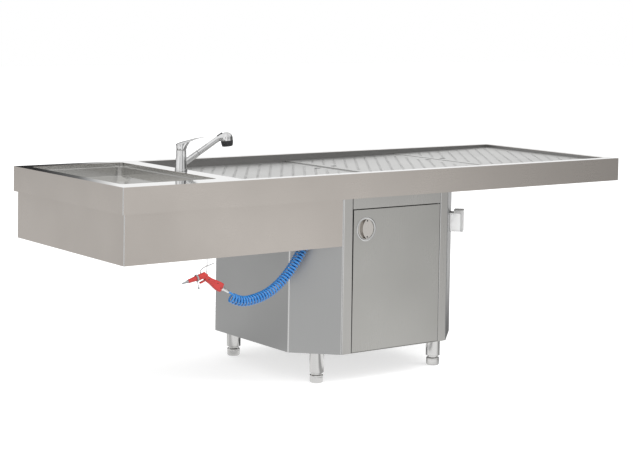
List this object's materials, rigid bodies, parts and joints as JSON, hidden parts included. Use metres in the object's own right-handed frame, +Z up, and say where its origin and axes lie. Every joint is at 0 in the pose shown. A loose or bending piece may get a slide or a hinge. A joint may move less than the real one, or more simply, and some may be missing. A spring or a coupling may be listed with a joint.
{
  "type": "autopsy table",
  "caption": "Free-standing steel autopsy table: perforated plates over a sloping tray, end sink with mixer tap, cabinet base on screw feet, water gun on a coiled hose.",
  "frame": {"origin": "on the floor under the middle of the worktop", "axes": "+X along the worktop from the sink end to the other end, +Y from the door side to the rear, +Z up"},
  "size_m": [2.6, 0.9, 1.0214],
  "materials": {
    "satin_steel": "satin ground stainless sheet, long grain",
    "bright_steel": "brighter stainless steel, smooth",
    "chrome": "polished chrome plating",
    "plated_brass": "nickel plated brass",
    "dark_plastic": "moulded dark plastic",
    "grey_plastic": "moulded grey plastic",
    "pipe_plastic": "moulded grey drain pipe",
    "white_plastic": "moulded off-white plastic, slight gloss",
    "red_plastic": "moulded red plastic, slight gloss",
    "blue_hose": "smooth blue polyurethane tube"
  },
  "bodies": {
    "frame": {"body_tray": "satin_steel", "bottle_trap": "pipe_plastic", "cabinet_floor": "satin_steel", "cabinet_shelf": "satin_steel", "cabinet_shell": "satin_steel", "coil_hose": "blue_hose", "cross_bar_left": "satin_steel", "cross_bar_right": "satin_steel", "door_catch": "dark_plastic", "drain_pipe": "pipe_plastic", "gun_body": "red_plastic", "gun_connector": "chrome", "gun_nozzle": "grey_plastic", "header_panel": "satin_steel", "hose_elbow": "bright_steel", "leg_front_left": "bright_steel", "leg_front_right": "bright_steel", "leg_rear_left": "bright_steel", "leg_rear_right": "bright_steel", "outlet_pipe": "pipe_plastic", "rail_front": "satin_steel", "rail_rear": "satin_steel", "sink_bowl": "bright_steel", "sink_skirt": "satin_steel", "sink_waste": "bright_steel", "socket_base": "white_plastic", "socket_insert": "grey_plastic", "spray_hook": "chrome", "supply_tube_cold": "plated_brass", "supply_tube_hot": "plated_brass", "tap_base": "chrome", "tap_nut": "plated_brass", "top_frame": "satin_steel", "tray_outlet": "bright_steel", "tray_pipe": "pipe_plastic"},
    "door": {"door_panel": "satin_steel", "door_liner": "satin_steel", "handle_ring": "bright_steel", "handle_cup": "bright_steel", "pivot_lower": "bright_steel", "pivot_upper": "bright_steel"},
    "strainer": {"sink_strainer": "bright_steel"},
    "left_plate": {"plate_left": "bright_steel"},
    "middle_plate": {"plate_middle": "bright_steel"},
    "right_plate": {"plate_right": "bright_steel"},
    "foot_1": {"foot_front_left": "grey_plastic"},
    "foot_2": {"foot_front_right": "grey_plastic"},
    "foot_3": {"foot_rear_left": "grey_plastic"},
    "foot_4": {"foot_rear_right": "grey_plastic"},
    "tap_swivel": {"tap_body": "chrome"},
    "cartridge": {"tap_hub": "plated_brass"},
    "lever": {"tap_lever": "chrome"},
    "handset": {"tap_handset": "chrome", "spray_face": "dark_plastic"},
    "trigger": {"gun_trigger": "red_plastic"},
    "flow_lever": {"gun_flow_lever": "grey_plastic"},
    "socket_cover": {"socket_lid": "white_plastic"}
  },
  "joints": [
    {"name": "door_hinge", "type": "hinge", "parent": "frame", "child": "door", "pos_m": [0.2265, -0.4345, 0.42], "axis": [0, 0, 1], "range_deg": [0, 110]},
    {"name": "strainer_lift", "type": "slide", "parent": "frame", "child": "strainer", "axis": [0, 0, 1], "range_m": [0, 0.05]},
    {"name": "left_plate_lift", "type": "slide", "parent": "frame", "child": "left_plate", "axis": [0, 0, 1], "range_m": [0, 0.06]},
    {"name": "middle_plate_lift", "type": "slide", "parent": "frame", "child": "middle_plate", "axis": [0, 0, 1], "range_m": [0, 0.1]},
    {"name": "right_plate_lift", "type": "slide", "parent": "frame", "child": "right_plate", "axis": [0, 0, 1], "range_m": [0, 0.1]},
    {"name": "foot_front_left_screw", "type": "slide", "parent": "frame", "child": "foot_1", "axis": [0, 0, -1], "range_m": [0, 0.03]},
    {"name": "foot_front_right_screw", "type": "slide", "parent": "frame", "child": "foot_2", "axis": [0, 0, -1], "range_m": [0, 0.03]},
    {"name": "foot_rear_left_screw", "type": "slide", "parent": "frame", "child": "foot_3", "axis": [0, 0, -1], "range_m": [0, 0.03]},
    {"name": "foot_rear_right_screw", "type": "slide", "parent": "frame", "child": "foot_4", "axis": [0, 0, -1], "range_m": [0, 0.03]},
    {"name": "spout_swivel", "type": "hinge", "parent": "frame", "child": "tap_swivel", "pos_m": [-0.788, -0.02, 0.88], "axis": [0, 0, 1], "range_deg": [-150, 150]},
    {"name": "temperature_turn", "type": "hinge", "parent": "tap_swivel", "child": "cartridge", "pos_m": [-0.788, -0.02, 0.948], "axis": [0, 0, 1], "range_deg": [-45, 45]},
    {"name": "lever_tilt", "type": "hinge", "parent": "cartridge", "child": "lever", "pos_m": [-0.80539, -0.01534, 0.9489], "axis": [-0.2588, -0.9659, 0], "range_deg": [0, 20]},
    {"name": "handset_pull", "type": "slide", "parent": "tap_swivel", "child": "handset", "axis": [0.8008, -0.2146, 0.5592], "range_m": [0, 0.045]},
    {"name": "trigger_squeeze", "type": "hinge", "parent": "frame", "child": "trigger", "pos_m": [-0.9315, -0.43, 0.491], "axis": [0, 1, 0], "range_deg": [0, 10], "stiffness_Nm_per_rad": 0.1, "springref_deg": -5.73},
    {"name": "flow_lever_turn", "type": "hinge", "parent": "frame", "child": "flow_lever", "pos_m": [-0.929, -0.43, 0.51], "axis": [-0.972, 0, -0.2351], "range_deg": [0, 45]},
    {"name": "socket_lid_hinge", "type": "hinge", "parent": "frame", "child": "socket_cover", "pos_m": [0.40944, -0.3292, 0.67], "axis": [-0.7071, -0.7071, 0], "range_deg": [0, 85], "stiffness_Nm_per_rad": 0.05}
  ]
}
